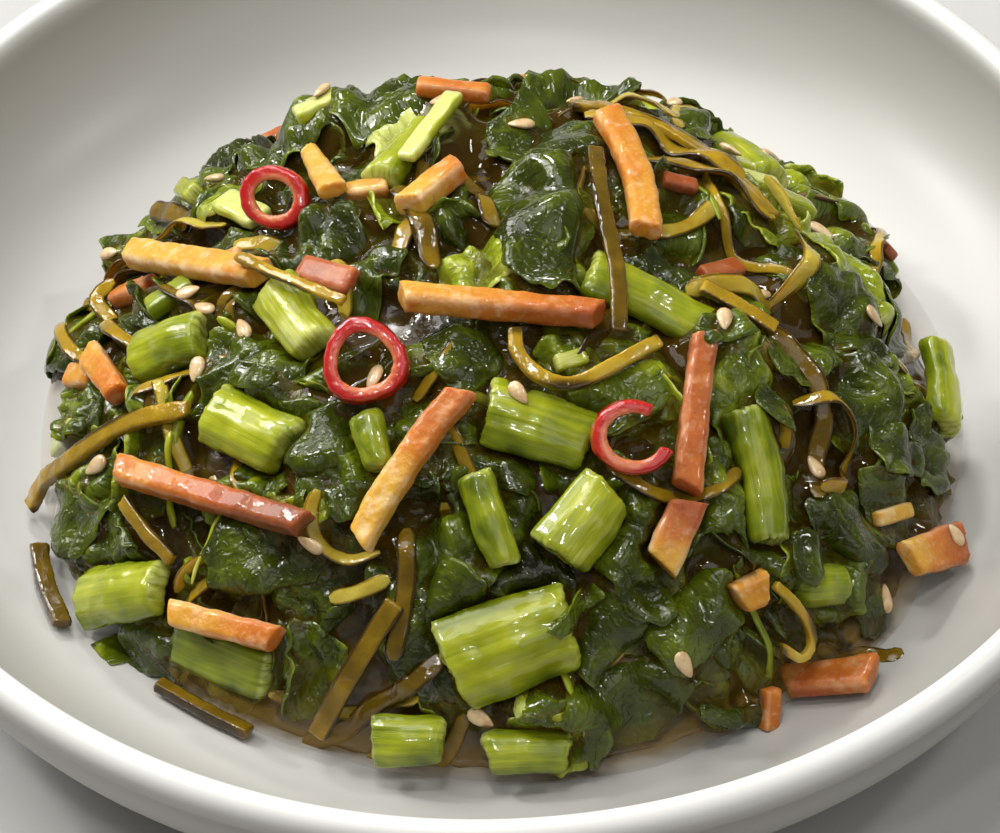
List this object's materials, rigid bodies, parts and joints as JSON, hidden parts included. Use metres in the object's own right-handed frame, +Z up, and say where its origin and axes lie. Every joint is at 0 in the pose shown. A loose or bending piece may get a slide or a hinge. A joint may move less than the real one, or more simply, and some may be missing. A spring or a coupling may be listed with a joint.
{
  "type": "bowl of pickled mustard greens",
  "caption": "Shallow round white dish holding a loose domed heap of dark pickled mustard greens with carrot sticks, leaf stalks, kelp strips and red chilli rings.",
  "frame": {"origin": "centre of the foot ring, on the surface that the dish stands on", "axes": "+Z up out of the dish, -Y towards the side that faces the viewer, +X to the viewer's right"},
  "size_m": [0.15, 0.15, 0.0454],
  "materials": {
    "glaze": "glazed white porcelain",
    "greens": "wet dark green leaf, glossy",
    "stem": "wet yellow-green leaf stalk",
    "carrot": "wet orange carrot",
    "kelp": "slippery olive-brown kelp",
    "chilli": "wet red chilli"
  },
  "bodies": {
    "root": {"dish": "glaze", "stem_01": "stem", "stem_02": "stem", "stem_03": "stem", "stem_04": "stem", "stem_05": "stem", "stem_06": "stem", "stem_07": "stem", "stem_08": "stem", "stem_09": "stem", "stem_10": "stem", "stem_11": "stem", "stem_12": "stem", "stem_13": "stem", "stem_14": "stem", "stem_15": "stem", "stem_16": "stem", "stem_17": "stem", "stem_18": "stem", "carrot_strip_01": "carrot", "carrot_strip_02": "carrot", "carrot_strip_03": "carrot", "carrot_strip_04": "carrot", "carrot_strip_05": "carrot", "carrot_strip_06": "carrot", "carrot_strip_07": "carrot", "carrot_strip_08": "carrot", "carrot_strip_09": "carrot", "carrot_strip_10": "carrot", "carrot_strip_11": "carrot", "carrot_strip_12": "carrot", "carrot_strip_13": "carrot", "carrot_strip_14": "carrot", "carrot_strip_15": "carrot", "carrot_strip_16": "carrot", "chilli_ring_01": "chilli", "chilli_ring_02": "chilli", "chilli_ring_03": "chilli", "kelp_strip_01": "kelp", "kelp_strip_02": "kelp", "kelp_strip_03": "kelp", "kelp_strip_04": "kelp", "kelp_strip_05": "kelp", "kelp_strip_06": "kelp", "kelp_strip_07": "kelp", "kelp_strip_08": "kelp", "kelp_strip_09": "kelp", "kelp_strip_10": "kelp", "kelp_strip_11": "kelp", "greens_heap": "greens"}
  },
  "joints": []
}
